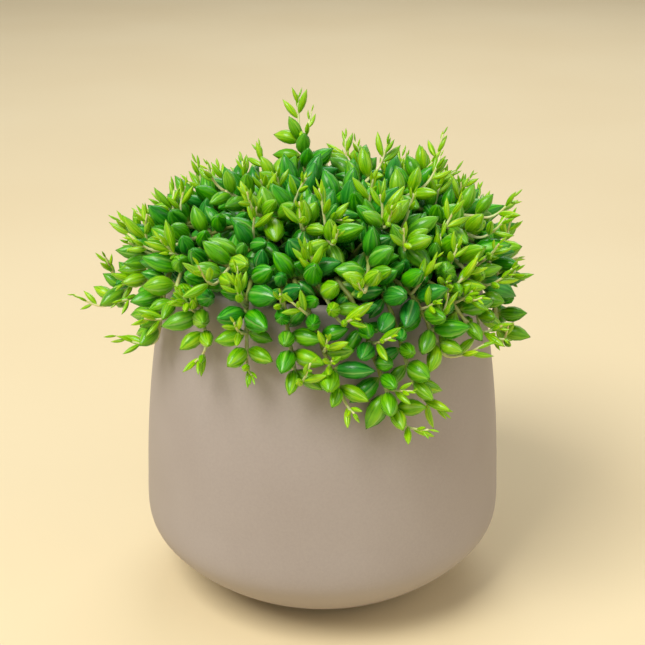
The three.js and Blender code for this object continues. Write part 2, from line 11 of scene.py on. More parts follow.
import bpy
import numpy as np
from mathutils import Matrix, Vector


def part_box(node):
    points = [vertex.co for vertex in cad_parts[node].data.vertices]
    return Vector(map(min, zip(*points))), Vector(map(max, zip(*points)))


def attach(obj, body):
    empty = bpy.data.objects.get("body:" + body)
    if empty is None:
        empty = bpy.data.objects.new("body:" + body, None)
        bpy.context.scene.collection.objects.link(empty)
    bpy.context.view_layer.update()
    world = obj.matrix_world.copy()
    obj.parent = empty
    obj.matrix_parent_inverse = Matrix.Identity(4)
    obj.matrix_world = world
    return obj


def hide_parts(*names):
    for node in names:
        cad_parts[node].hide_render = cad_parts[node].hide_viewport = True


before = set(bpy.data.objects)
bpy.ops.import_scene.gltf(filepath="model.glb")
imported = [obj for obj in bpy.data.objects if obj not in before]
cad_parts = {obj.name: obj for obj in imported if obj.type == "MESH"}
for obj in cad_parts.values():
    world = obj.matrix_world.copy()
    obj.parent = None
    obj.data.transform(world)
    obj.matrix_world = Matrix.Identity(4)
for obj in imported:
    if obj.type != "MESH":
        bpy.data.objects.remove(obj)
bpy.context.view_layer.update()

MM = 0.001
UP = np.array([0.0, 0.0, 1.0])
GOLDEN_ANGLE = math.pi * (3 - math.sqrt(5))

# Pot
POT_SIDES = 144
OUTLINE_SPACING = 1.3 * MM  # between the points of the turned outline
SAME_PLACE = 0.01 * MM  # points closer than this to a plane or a height lie on it

# Potting mix
MIX_GAP = 0.4 * MM
CRUMBS = 700
CRUMB_WIDTH = (1.2 * MM, 3.2 * MM)
CRUMB_HEIGHT = (0.3 * MM, 1.3 * MM)
CRUMB_GRAIN = 1.8  # how much longer a crumb is along its grain
CRUMB_SINK = 0.8  # share of a crumb's height that stands out of the mix
MIX_CORNER = 4.5 * MM  # the mix's edge lies less than this below its middle

# Stems
STEM_SIDES = 7
STEM_SPACING = 1.2 * MM
STEM_FILL = 0.86  # round stem's radius, as a share of the square one's half-diagonal
NODE_SWELLING = 0.28  # how much thicker a stem is where leaves join it
NODE_WIDTH = 1.1 * MM
SHOOT_LENGTH = (8.0 * MM, 15.0 * MM)
SHOOT_RADIUS = 0.7 * MM
SIDE_SHOOTS_PER_STRAND = 1.6
SIDE_SHOOT_EXTRA = 1.15  # how much longer a side shoot is than one at a tip
STEM_YOUTH_SPAN = 32 * MM  # from a stem's tip to where it is old
LEAF_YOUTH_SPAN = 26 * MM  # from a stem's tip to where its leaves are grown

# The frame's strands: how their solids are made, by which they are read back
CAD_LEAF_SIDES = 5
CAD_STEM_SIDES = 4
SHARP_TURN = 260  # a leaf's tip has less than this sum of angles, in degrees, round it
CAD_LEAF_FILL = 0.98  # the first ring's radius, as a share of the leaf's

# Leaves: width along a leaf as a share of its widest
LEAF_SIDES = 8
LEAF_ALONG = np.array([0.05, 0.17, 0.34, 0.54, 0.74, 0.91])
LEAF_WIDTH = np.array([0.19, 0.64, 0.95, 1.0, 0.74, 0.27])
LEAF_DEPTH = 0.9  # from top to bottom, as a share of its width
SPARE_SPACING = 6.2 * MM  # along the older part of a stem, from one pair of leaves to the next
SPARE_LENGTH = 13.5 * MM
SPARE_RADIUS = 3.5 * MM
SPARE_SIZES = (1.0, 0.82, 0.64)  # tried in turn where there is less and less room
YOUNG_LEAVES = 5
YOUNG_LENGTH = (5.5 * MM, 12.0 * MM)
YOUNG_SLIMNESS = 0.125  # half-width as a share of the length

# Stage
TABLETOP_HALF = 4.0
LIGHT_AIM = np.array([0, 0, 0.1])
CAMERA_PLACE = (0, -0.4480, 0.2868)
CAMERA_TILT = 67.51  # degrees up from straight down
CAMERA_LENS = 72.56  # millimetres, on a sensor 36 mm wide

random = np.random.default_rng(11)


# ---- Shapes --------------------------------------------------------------------------------------


def unit(vectors):
    """Vectors scaled to length one along their last axis."""
    return vectors / np.maximum(np.linalg.norm(vectors, axis=-1, keepdims=True), 1e-12)


def across(vectors, axes):
    """Vectors with their share along some unit axes taken out, scaled to length one."""
    return unit(vectors - (vectors * axes).sum(-1, keepdims=True) * axes)


def make_piece(name, skins, material, slot, *nodes):
    """One mesh object from some skins, each (points, quads, triangles, values). values gives a
    three-number value to each point under a name that the materials read."""
    counts = np.cumsum([0] + [len(points) for points, *_ in skins])
    points = np.concatenate([points for points, *_ in skins])
    quads = np.concatenate([skin[1] + start for skin, start in zip(skins, counts)])
    triangles = np.concatenate([skin[2] + start for skin, start in zip(skins, counts)])
    sizes = np.repeat([4, 3], [len(quads), len(triangles)])
    mesh = bpy.data.meshes.new(name)
    mesh.vertices.add(len(points))
    mesh.vertices.foreach_set("co", points.astype(np.float32).ravel())
    mesh.loops.add(int(sizes.sum()))
    corners = np.concatenate([quads.ravel(), triangles.ravel()])
    mesh.loops.foreach_set("vertex_index", corners.astype(np.int32))
    mesh.polygons.add(len(sizes))
    mesh.polygons.foreach_set("loop_start", (np.cumsum(sizes) - sizes).astype(np.int32))
    mesh.update(calc_edges=True)
    mesh.shade_smooth()
    for key in skins[0][3]:
        values = np.concatenate([skin[3][key] for skin in skins])
        layer = mesh.attributes.new(key, "FLOAT_VECTOR", "POINT")
        layer.data.foreach_set("vector", values.astype(np.float32).ravel())
    mesh.materials.append(material)
    piece = bpy.data.objects.new(name, mesh)
    bpy.context.scene.collection.objects.link(piece)
    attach(piece, "root")
    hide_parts(*nodes)
    return piece


def skin_faces(rows, sides):
    """The faces of a closed skin over rows rings of so many points each, point row * sides + side,
    with a pole before the first ring and one after the last. Rings turn anticlockwise as seen
    from the far end, so that the faces look outwards."""
    ring = np.arange(rows * sides).reshape(rows, sides)
    after = np.roll(ring, -1, axis=1)
    quads = np.stack([ring[:-1], after[:-1], after[1:], ring[1:]], axis=-1).reshape(-1, 4)
    pole = np.full(sides, rows * sides)
    start = np.stack([after[0], ring[0], pole], axis=-1)
    end = np.stack([ring[-1], after[-1], pole + 1], axis=-1)
    return quads, np.concatenate([start, end])


def smooth_line(points, spacing):
    """A smooth line through some points, with new points at an even spacing. Each stretch is the
    cubic h(u) that has the tangents of a centripetal Catmull-Rom spline at its two ends."""
    ends = 2 * points[[0, -1]] - points[[1, -2]]
    p = np.concatenate([ends[:1], points, ends[1:]])
    steps = np.sqrt(np.maximum(np.linalg.norm(np.diff(p, axis=0), axis=1), 1e-9))[:, None]
    slopes = np.diff(p, axis=0) / steps
    before, here, later = steps[:-2], steps[1:-1], steps[2:]
    wide_before = (p[2:-1] - p[:-3]) / (before + here)
    wide_later = (p[3:] - p[1:-2]) / (here + later)
    leave = ((slopes[:-2] - wide_before + slopes[1:-1]) * here)[:, None]
    arrive = ((slopes[1:-1] - wide_later + slopes[2:]) * here)[:, None]
    u = np.linspace(0, 1, 12, endpoint=False)[None, :, None]
    a, b = p[1:-2][:, None], p[2:-1][:, None]
    cubic = (
        (2 * u**3 - 3 * u**2 + 1) * a
        + (u**3 - 2 * u**2 + u) * leave
        + (3 * u**2 - 2 * u**3) * b
        + (u**3 - u**2) * arrive
    )
    dense = np.concatenate([cubic.reshape(-1, points.shape[1]), points[-1:]])
    reach = np.concatenate([[0], np.cumsum(np.linalg.norm(np.diff(dense, axis=0), axis=1))])
    even = np.linspace(0, reach[-1], max(4, int(round(reach[-1] / spacing)) + 1))
    return np.stack([np.interp(even, reach, column) for column in dense.T], axis=1)


def turned_round(outline, sides):
    """An outline (radius, height) carried round +Z: the point at outline step i and angle w is
    (r_i cos w, r_i sin w, z_i). The outline's first and last points are the poles, on the axis."""
    turn = np.linspace(0, 2 * math.pi, sides, endpoint=False)
    radius, height = outline[1:-1, 0, None], outline[1:-1, 1, None]
    grid = np.stack(
        [radius * np.cos(turn), radius * np.sin(turn), height + 0 * turn], axis=-1
    )
    poles = np.array([[0, 0, outline[0, 1]], [0, 0, outline[-1, 1]]])
    return np.concatenate([grid.reshape(-1, 3), poles]), *skin_faces(len(radius), sides), {}


# ---- Reading the frame ---------------------------------------------------------------------------


def welded(node):
    """A CAD node's corner points, each one once, its triangles, and the table of joined points."""
    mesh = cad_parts[node].data
    mesh.calc_loop_triangles()
    places = np.empty(len(mesh.vertices) * 3, np.float32)
    mesh.vertices.foreach_get("co", places)
    corners = np.empty(len(mesh.loop_triangles) * 3, np.int32)
    mesh.loop_triangles.foreach_get("vertices", corners)
    keys = np.round(places.reshape(-1, 3) / 1e-6).astype(np.int64)
    _, first, index = np.unique(keys, axis=0, return_index=True, return_inverse=True)
    points = places.reshape(-1, 3)[first].astype(float)
    triangles = index.ravel()[corners].reshape(-1, 3)
    joined = np.zeros((len(points), len(points)), bool)
    joined[triangles, np.roll(triangles, 1, axis=1)] = True
    return points, triangles, joined | joined.T


def corner_turns(points, triangles):
    """For each point, the sum of the triangles' angles there: 360 degrees where the skin is flat,
    and much less at a sharp tip."""
    corner = points[triangles]
    a = unit(np.roll(corner, -1, axis=1) - corner)
    b = unit(np.roll(corner, 1, axis=1) - corner)
    angles = np.arccos(np.clip((a * b).sum(-1), -1, 1))
    turns = np.zeros(len(points))
    np.add.at(turns, triangles, angles)
    return np.degrees(turns)


def pot_outline():
    """The pot's outline (radius, height) from the middle of its foot, up the outside, over the rim
    and down to the middle of its floor: the chain of joined points in the half-plane y = 0,
    x > 0."""
    points, _, joined = welded("pot")
    inside = (abs(points[:, 1]) < SAME_PLACE) & (points[:, 0] > -SAME_PLACE)
    here = np.flatnonzero(inside)[np.linalg.norm(points[inside], axis=1).argmin()]
    chain = []
    while True:
        chain.append(here)
        inside[here] = False
        onward = np.flatnonzero(inside & joined[here])
        if len(onward) == 0:
            return points[chain][:, [0, 2]]
        here = onward[0]


def read_strand(node, mix_low, mix_high):
    """A strand's stem line with its half-diagonals, from the root to the tip, and its leaves as
    arrays of feet, tips and radii. A leaf's tip is a sharp point that joins five others; the
    rings of five below it and the stem's own four-sided rings are found by who is joined to
    whom."""
    points, triangles, joined = welded(node)
    turns = corner_turns(points, triangles)
    tips = np.flatnonzero((joined.sum(1) == CAD_LEAF_SIDES) & (turns < SHARP_TURN))
    on_stem = np.ones(len(points), bool)
    leaves = []
    for tip in tips:
        far = joined[tip]
        near = joined[far].any(0) & ~far
        near[tip] = False
        foot = joined[near].any(0) & ~near & ~far
        on_stem[far | near] = False
        on_stem[tip] = False
        base, end = points[foot].mean(0), points[tip]
        axis = unit(end - base)
        spokes = points[near] - base
        spokes = spokes - (spokes @ axis)[:, None] * axis
        leaves.append([*base, *end, np.linalg.norm(spokes, axis=1).mean() / CAD_LEAF_FILL])
    ends = np.flatnonzero(on_stem & (joined.sum(1) == CAD_STEM_SIDES))
    flat = np.hypot(points[ends, 0], points[ends, 1])
    rooted = (flat < mix_high[0]) & (points[ends, 2] < mix_high[2])
    front = np.zeros(len(points), bool)
    front[ends[rooted][0]] = True
    line = [[*points[front].mean(0), 0]]
    seen = front.copy()
    while True:
        front = joined[front].any(0) & on_stem & ~seen
        if not front.any():
            break
        seen |= front
        middle = points[front].mean(0)
        spread = np.linalg.norm(points[front] - middle, axis=1).mean()
        line.append([*middle, spread])
    line = np.array(line)
    line[[0, -1], 3] = line[[1, -2], 3]
    return line, np.array(leaves).reshape(-1, 7)


# ---- Pot and potting mix -------------------------------------------------------------------------


def potting_mix_outline(outline, edge_height, top_height):
    """The root ball's outline: the pot's inside moved in by the gap, cut at the edge height, then
    a mound z = edge + (top - edge)(1 - (r / r_edge)^2) back to the axis."""
    rim = outline[:, 1].argmax()
    inside = outline[rim:][::-1]
    inside = inside + np.array([0, MIX_GAP])
    inside[1:, 0] -= MIX_GAP
    edge_radius = np.interp(edge_height, inside[:, 1], inside[:, 0])
    wall = inside[inside[:, 1] < edge_height - 1 * MM]
    radii = np.linspace(edge_radius, 0, 34)
    mound = edge_height + (top_height - edge_height) * (1 - (radii / edge_radius) ** 2)
    return np.concatenate([wall, np.stack([radii, mound], axis=1)]), edge_radius


def crumbled(points, edge_height, edge_radius):
    """Points of the mix's top raised by crumbs and fibres: each crumb at (x_k, y_k) adds
    h_k exp(-d^2 / w_k^2), where d is the distance to it, measured shorter along its own grain."""
    on_top = points[:, 2] >= edge_height - SAME_PLACE
    turn = random.uniform(0, 2 * math.pi, CRUMBS)
    reach = edge_radius * np.sqrt(random.uniform(0, 1, CRUMBS))
    width = random.uniform(*CRUMB_WIDTH, CRUMBS)
    height = random.uniform(*CRUMB_HEIGHT, CRUMBS)
    grain = random.uniform(0, math.pi, CRUMBS)
    dx = points[on_top, 0, None] - reach * np.cos(turn)
    dy = points[on_top, 1, None] - reach * np.sin(turn)
    along = dx * np.cos(grain) + dy * np.sin(grain)
    aside = dy * np.cos(grain) - dx * np.sin(grain)
    bumps = height * np.exp(-((along / (CRUMB_GRAIN * width)) ** 2 + (aside / width) ** 2))
    raised = points.copy()
    raised[on_top, 2] += bumps.sum(1) * CRUMB_SINK
    return raised


# ---- Stems, leaves and shoots --------------------------------------------------------------------


def tube(line, radii, youth):
    """A round stem: rings of points P(s) + r(s)(cos w N(s) + sin w B(s)) along the line P, where N
    is the normal of the plane that the line lies nearest to, made square to the line, and B is
    square to both. A pole closes each end."""
    ahead = unit(np.gradient(line, axis=0))
    plane = np.linalg.svd(line - line.mean(0), full_matrices=False)[2][-1]
    plane = plane + 0.01 * np.array([0.3, 0.5, 0.8])
    normal = across(np.broadcast_to(plane, line.shape), ahead)
    binormal = np.cross(ahead, normal)
    turn = np.linspace(0, 2 * math.pi, STEM_SIDES, endpoint=False)[None, :, None]
    spokes = np.cos(turn) * normal[:, None] + np.sin(turn) * binormal[:, None]
    grid = line[:, None] + radii[:, None, None] * spokes
    poles = line[[0, -1]] + ahead[[0, -1]] * radii[[0, -1], None] * [[-0.5], [0.5]]
    points = np.concatenate([grid.reshape(-1, 3), poles])
    ages = np.concatenate([np.repeat(youth, STEM_SIDES), youth[[0, -1]]])
    values = {"growth": np.stack([ages, 0 * ages, 0 * ages], axis=1)}
    return points, *skin_faces(len(line), STEM_SIDES), values


def leaf_skins(feet, tips, radii, tops, bows, growth):
    """Smooth leaves. A leaf's middle line runs from foot to tip and bows by b sin(pi t) towards
    its top side; round it, the point at angle w is r f(t)(cos w S + d sin w T), where f is the
    leaf's outline, T its top, S its side and d its depth."""
    length = np.linalg.norm(tips - feet, axis=1)
    axis = unit(tips - feet)
    top = across(tops, axis)
    side = np.cross(top, axis)
    turn = np.linspace(0, 2 * math.pi, LEAF_SIDES, endpoint=False)
    t, w = np.meshgrid(LEAF_ALONG, turn, indexing="ij")
    width = np.interp(t, LEAF_ALONG, LEAF_WIDTH)
    bend = (bows * length)[:, None, None] * np.sin(math.pi * t)
    reach = radii[:, None, None] * width
    rings = (
        feet[:, None, None]
        + (length[:, None, None] * t)[..., None] * axis[:, None, None]
        + (bend + LEAF_DEPTH * reach * np.sin(w))[..., None] * top[:, None, None]
        + (reach * np.cos(w))[..., None] * side[:, None, None]
    )
    count, per_leaf = len(feet), LEAF_ALONG.size * LEAF_SIDES + 2
    points = np.concatenate(
        [rings.reshape(count, -1, 3), feet[:, None], tips[:, None]], axis=1
    )
    quads, triangles = skin_faces(LEAF_ALONG.size, LEAF_SIDES)
    starts = (np.arange(count) * per_leaf)[:, None, None]
    around = np.stack([np.cos(w), np.sin(w), t], axis=-1).reshape(-1, 3)
    around = np.concatenate([around, [[0, 0, 0], [0, 0, 1]]])
    values = {
        "skin": np.tile(around, (count, 1)),
        "growth": np.repeat(growth, per_leaf, axis=0),
    }
    return (
        points.reshape(-1, 3),
        (quads + starts).reshape(-1, 4),
        (triangles + starts).reshape(-1, 3),
        values,
    )


def outward(points):
    """The way out of the plant at some points: away from the middle of the pot's mouth."""
    return unit(points - np.array([0, 0, rim_height - 25 * MM]))


def keeps_off_pot(points, radii):
    """Whether spheres stay off the pot and the mix: above the rim, or outside the wall, or inside
    it and above the mix."""
    flat = np.hypot(points[..., 0], points[..., 1])
    wall = np.interp(points[..., 2], outer_wall[:, 1], outer_wall[:, 0])
    above = points[..., 2] - radii > rim_height
    outside = flat - radii > wall
    in_mouth = (flat + radii < edge_radius) & (points[..., 2] - radii > mix_high[2])
    return above | outside | in_mouth


def room_at(points, radii, start, reach):
    """How far spheres, given as a table with one row for each choice, stay off everything that
    has grown within reach of the start. Each row gets its smallest gap."""
    near = blobs[np.linalg.norm(blobs[:, :3] - start, axis=1) < reach]
    gaps = np.linalg.norm(points[:, :, None] - near[:, :3], axis=-1) - near[:, 3]
    return (gaps - radii[..., None]).min(axis=(1, 2), initial=reach)


def clear_heading(start, ahead, wanted, length):
    """The heading, of 60 strays from the wanted one, in which a shoot of that length best keeps
    off the leaves, the pot and the other shoots without straying far."""
    headings = unit(wanted + random.normal(0, 0.5, (60, 3)))
    steps = np.array([0.45, 0.8, 1.1, 1.5])[:, None] * length
    ways = start + steps * unit(0.35 * ahead + headings)[:, None]
    radii = np.full(ways.shape[:2], 1.0 * MM)
    room = np.clip(room_at(ways, radii, start, 3 * length), -3 * MM, 1 * MM) / MM
    blocked = ~keeps_off_pot(ways, radii + 1 * MM).all(1)
    score = 0.5 * room + 0.8 * (headings @ wanted) - 4 * blocked
    return headings[score.argmax()]


def spare_leaves(line, spots):
    """Older leaves along the stem's inner part, up to two at each spot: of 48 headings round the
    stem, leaning along it, the one that keeps clear of its neighbours and looks most outwards.
    Each is a foot, a tip and a radius, and stands in the table of spheres for the next."""
    global blobs
    found = []
    shares = np.array([0.35, 0.55, 0.75, 0.95])
    shape = np.interp(shares, LEAF_ALONG, LEAF_WIDTH)
    for spot in np.repeat(spots, 2):
        ahead = unit(line[spot + 1] - line[spot - 1])
        spokes = across(random.normal(0, 1, (48, 3)), ahead)
        lean = np.radians(random.uniform(42, 85, (48, 1)))
        headings = np.cos(lean) * ahead + np.sin(lean) * spokes
        for size in SPARE_SIZES:
            length = SPARE_LENGTH * size * random.uniform(0.9, 1.08)
            radius = SPARE_RADIUS * size * random.uniform(0.92, 1.08)
            middles = line[spot] + (shares[:, None] * length) * headings[:, None]
            radii = np.tile(radius * shape, (48, 1))
            room = room_at(middles, radii, line[spot], 2.2 * length)
            fits = (room > -0.15 * MM) & keeps_off_pot(middles, radii).all(1)
            if fits.any():
                out = np.where(fits, headings @ outward(line[spot]), -9)
                heading = headings[out.argmax()]
                foot = line[spot] + 0.5 * MM * heading
                found.append([*foot, *(line[spot] + length * heading), radius])
                centres = line[spot] + (shares[:, None] * length) * heading
                blobs = np.concatenate([blobs, np.column_stack([centres, radius * shape])])
                break
    return np.array(found).reshape(-1, 7)


def grow_shoot(start, ahead, heading, length, base_radius):
    """A young shoot: a pale stem on the quadratic curve that leaves along `ahead` and ends along
    `heading`, and slim leaves round it a golden angle apart, smaller and closer to the stem's own
    direction towards its end."""
    u = np.linspace(0, 1, 9)[:, None]
    turned = unit(0.35 * ahead + heading)
    line = start + length * (2 * u * (1 - u) * 0.4 * ahead + u**2 * turned)
    radii = base_radius + (0.5 * SHOOT_RADIUS - base_radius) * u[:, 0] ** 0.7
    stem = tube(line, radii, np.full(9, 1.0))
    order = np.arange(YOUNG_LEAVES) / (YOUNG_LEAVES - 1)
    at = 0.5 + 0.5 * order
    feet = np.stack([np.interp(at, u[:, 0], column) for column in line.T], axis=1)
    spin = random.uniform(0, 2 * math.pi) + GOLDEN_ANGLE * np.arange(YOUNG_LEAVES)
    first = across(np.array([0.31, 0.52, 0.8]), turned)
    second = np.cross(turned, first)
    spread = np.cos(spin)[:, None] * first + np.sin(spin)[:, None] * second
    lean = np.radians(38 - 26 * order + random.uniform(-10, 10, YOUNG_LEAVES))[:, None]
    headings = np.cos(lean) * turned + np.sin(lean) * spread
    long, short = YOUNG_LENGTH[1], YOUNG_LENGTH[0]
    lengths = (long + (short - long) * order) * random.uniform(0.75, 1.1, YOUNG_LEAVES)
    lengths = lengths * random.uniform(0.65, 1.0)
    slim = YOUNG_SLIMNESS * (1.2 - 0.4 * order)
    growth = np.stack(
        [
            random.uniform(0.5, 0.9, YOUNG_LEAVES) + 0.1 * order,
            0.1 * np.ones(YOUNG_LEAVES),
            random.uniform(0, 1, YOUNG_LEAVES),
        ],
        axis=1,
    )
    leaves = leaf_skins(
        feet,
        feet + lengths[:, None] * headings,
        lengths * slim,
        turned - 0.6 * spread,
        random.uniform(-0.06, 0.02, YOUNG_LEAVES),
        growth,
    )
    return stem, leaves, feet + 0.5 * lengths[:, None] * headings


# ---- Materials -----------------------------------------------------------------------------------


def linear(hex_colour):
    """An sRGB hex colour as linear red, green, blue and alpha."""
    channels = [int(hex_colour[i : i + 2], 16) / 255 for i in (1, 3, 5)]
    return [c / 12.92 if c <= 0.04045 else ((c + 0.055) / 1.055) ** 2.4 for c in channels] + [1]


def add_node(tree, kind, settings=None, links=None):
    """Adds a node. Each setting goes to the node's property of that name, or else to that input;
    "stops" are a ramp's places and colours. Each link joins another node's output to an input."""
    node = tree.nodes.new(kind)
    for name, value in (settings or {}).items():
        if name == "stops":
            ramp = node.color_ramp
            while len(ramp.elements) < len(value):
                ramp.elements.new(0.5)
            for stop, (place, colour) in zip(ramp.elements, value):
                stop.position = place
                stop.color = linear(colour)
        elif isinstance(name, str) and hasattr(node, name):
            setattr(node, name, value)
        else:
            node.inputs[name].default_value = value
    for name, output in (links or {}).items():
        tree.links.new(output, node.inputs[name])
    return node


def new_material(name):
    """A material with an empty node tree, and that tree."""
    material = bpy.data.materials.new(name)
    material.use_nodes = True
    material.node_tree.nodes.clear()
    return material, material.node_tree


def finish_surface(tree, settings, links):
    """Ends a material's tree with its shader and output."""
    shader = add_node(tree, "ShaderNodeBsdfPrincipled", settings, links)
    add_node(tree, "ShaderNodeOutputMaterial", {}, {"Surface": shader.outputs[0]})


def matte_glazed_stoneware():
    """Stoneware with a dry matte glaze: an even taupe with faint clouds where the glaze lies
    thicker, and a fine tooth that breaks up its soft shine."""
    material, tree = new_material("matte_glazed_stoneware")
    place = add_node(tree, "ShaderNodeTexCoord").outputs["Object"]
    clouds = add_node(
        tree,
        "ShaderNodeTexNoise",
        {"Scale": 1 / (55 * MM), "Detail": 3.0, "Roughness": 0.5},
        {"Vector": place},
    )
    tone = add_node(
        tree,
        "ShaderNodeValToRGB",
        {"stops": [(0.3, "#A1968F"), (0.7, "#A89E98")]},
        {"Fac": clouds.outputs["Fac"]},
    )
    tooth = add_node(
        tree,
        "ShaderNodeTexNoise",
        {"Scale": 1 / (0.9 * MM), "Detail": 4.0, "Roughness": 0.65},
        {"Vector": place},
    )
    speckle = add_node(
        tree,
        "ShaderNodeMapRange",
        {"From Min": 0.35, "From Max": 0.65, "To Min": 0.965, "To Max": 1.03},
        {"Value": tooth.outputs["Fac"]},
    )
    colour = add_node(
        tree,
        "ShaderNodeVectorMath",
        {"operation": "SCALE"},
        {0: tone.outputs["Color"], "Scale": speckle.outputs["Result"]},
    )
    rough = add_node(
        tree,
        "ShaderNodeMapRange",
        {"From Min": 0.3, "From Max": 0.7, "To Min": 0.46, "To Max": 0.6},
        {"Value": tooth.outputs["Fac"]},
    )
    bump = add_node(
        tree,
        "ShaderNodeBump",
        {"Strength": 0.25, "Distance": 0.08 * MM},
        {"Height": tooth.outputs["Fac"]},
    )
    finish_surface(
        tree,
        {"IOR": 1.5},
        {
            "Base Color": colour.outputs["Vector"],
            "Roughness": rough.outputs["Result"],
            "Normal": bump.outputs["Normal"],
        },
    )
    return material


def waxy_leaf_skin():
    """A succulent leaf's skin, smooth under a thin natural wax: dark and light green streaks run
    its length, some leaves are bluish, the youngest yellow-green, with a pale line along the top
    and a dark point at the tip."""
    material, tree = new_material("waxy_leaf_skin")
    skin = add_node(tree, "ShaderNodeAttribute", {"attribute_name": "skin"})
    growth = add_node(tree, "ShaderNodeAttribute", {"attribute_name": "growth"})
    around = add_node(tree, "ShaderNodeSeparateXYZ", {}, {0: skin.outputs["Vector"]})
    grown = add_node(tree, "ShaderNodeSeparateXYZ", {}, {0: growth.outputs["Vector"]})
    youth, tint, own = grown.outputs
    each = add_node(tree, "ShaderNodeMath", {"operation": "MULTIPLY", 1: 60.0}, {0: own})
    drawn_out = add_node(
        tree,
        "ShaderNodeVectorMath",
        {"operation": "MULTIPLY", 1: (3.2, 3.2, 0.9)},
        {0: skin.outputs["Vector"]},
    )
    streaks = add_node(
        tree,
        "ShaderNodeTexNoise",
        {"noise_dimensions": "4D", "Scale": 1.0, "Detail": 2.0, "Roughness": 0.6},
        {"Vector": drawn_out.outputs["Vector"], "W": each.outputs["Value"]},
    )
    streaks = streaks.outputs["Fac"]
    grown_green = add_node(
        tree,
        "ShaderNodeValToRGB",
        {"stops": [(0.34, "#1F7400"), (0.5, "#359B00"), (0.68, "#68C000")]},
        {"Fac": streaks},
    )
    blue_green = add_node(
        tree,
        "ShaderNodeValToRGB",
        {"stops": [(0.34, "#0F6824"), (0.5, "#1F8424"), (0.68, "#4AAC3A")]},
        {"Fac": streaks},
    )
    young_green = add_node(
        tree,
        "ShaderNodeValToRGB",
        {"stops": [(0.34, "#74B800"), (0.5, "#9CD200"), (0.68, "#CAE41E")]},
        {"Fac": streaks},
    )
    full = add_node(
        tree,
        "ShaderNodeMix",
        {"data_type": "RGBA"},
        {0: tint, 6: grown_green.outputs["Color"], 7: blue_green.outputs["Color"]},
    )
    aged = add_node(
        tree,
        "ShaderNodeMix",
        {"data_type": "RGBA"},
        {0: youth, 6: full.outputs[2], 7: young_green.outputs["Color"]},
    )
    off_line = add_node(
        tree, "ShaderNodeMath", {"operation": "ABSOLUTE"}, {0: around.outputs["X"]}
    )
    near_line = add_node(
        tree,
        "ShaderNodeMapRange",
        {"interpolation_type": "SMOOTHSTEP", "From Min": 0.17, "From Max": 0.03},
        {"Value": off_line.outputs["Value"]},
    )
    on_top = add_node(
        tree,
        "ShaderNodeMapRange",
        {"interpolation_type": "SMOOTHSTEP", "From Min": 0.2, "From Max": 0.7, "To Max": 0.26},
        {"Value": around.outputs["Y"]},
    )
    line = add_node(
        tree,
        "ShaderNodeMath",
        {"operation": "MULTIPLY"},
        {0: near_line.outputs["Result"], 1: on_top.outputs["Result"]},
    )
    lined = add_node(
        tree,
        "ShaderNodeMix",
        {"data_type": "RGBA", 7: linear("#C3DF86")},
        {0: line.outputs["Value"], 6: aged.outputs[2]},
    )
    ends = add_node(
        tree,
        "ShaderNodeValToRGB",
        {"stops": [(0.0, "#FFFFFF"), (0.16, "#000000"), (1.0, "#000000")]},
        {"Fac": around.outputs["Z"]},
    )
    footed = add_node(
        tree,
        "ShaderNodeMix",
        {"data_type": "RGBA", 7: linear("#BCD25A")},
        {0: ends.outputs["Color"], 6: lined.outputs[2]},
    )
    point = add_node(
        tree,
        "ShaderNodeMapRange",
        {"From Min": 0.93, "From Max": 1.0, "To Max": 0.75},
        {"Value": around.outputs["Z"]},
    )
    tipped = add_node(
        tree,
        "ShaderNodeMix",
        {"data_type": "RGBA", 7: linear("#2E4A14")},
        {0: point.outputs["Result"], 6: footed.outputs[2]},
    )
    rough = add_node(
        tree,
        "ShaderNodeMapRange",
        {"From Min": 0.3, "From Max": 0.7, "To Min": 0.22, "To Max": 0.36},
        {"Value": streaks},
    )
    bump = add_node(
        tree,
        "ShaderNodeBump",
        {"Strength": 0.3, "Distance": 0.2 * MM},
        {"Height": streaks},
    )
    finish_surface(
        tree,
        {"IOR": 1.45, "Subsurface Weight": 0.12, "Subsurface Scale": 1.5 * MM},
        {
            "Base Color": tipped.outputs[2],
            "Roughness": rough.outputs["Result"],
            "Normal": bump.outputs["Normal"],
        },
    )
    return material


def soft_stem_skin():
    """A trailing stem's skin: dull green with a little brown where it is old, and pale cream with
    a green cast where it is young, nearly matte, with a faint mottled bump."""
    material, tree = new_material("soft_stem_skin")
    growth = add_node(tree, "ShaderNodeAttribute", {"attribute_name": "growth"})
    youth = add_node(tree, "ShaderNodeSeparateXYZ", {}, {0: growth.outputs["Vector"]})
    place = add_node(tree, "ShaderNodeTexCoord").outputs["Object"]
    mottle = add_node(
        tree,
        "ShaderNodeTexNoise",
        {"Scale": 1 / (2.5 * MM), "Detail": 3.0},
        {"Vector": place},
    )
    aged = add_node(
        tree,
        "ShaderNodeValToRGB",
        {"stops": [(0.0, "#6F7F38"), (0.55, "#9DB052"), (1.0, "#DDE2A0")]},
        {"Fac": youth.outputs["X"]},
    )
    blushed = add_node(
        tree,
        "ShaderNodeValToRGB",
        {"stops": [(0.45, "#FFFFFF"), (0.7, "#F0D9C0")]},
        {"Fac": mottle.outputs["Fac"]},
    )
    colour = add_node(
        tree,
        "ShaderNodeVectorMath",
        {"operation": "MULTIPLY"},
        {0: aged.outputs["Color"], 1: blushed.outputs["Color"]},
    )
    bump = add_node(
        tree,
        "ShaderNodeBump",
        {"Strength": 0.3, "Distance": 0.1 * MM},
        {"Height": mottle.outputs["Fac"]},
    )
    finish_surface(
        tree,
        {"IOR": 1.42, "Roughness": 0.5},
        {"Base Color": colour.outputs["Vector"], "Normal": bump.outputs["Normal"]},
    )
    return material


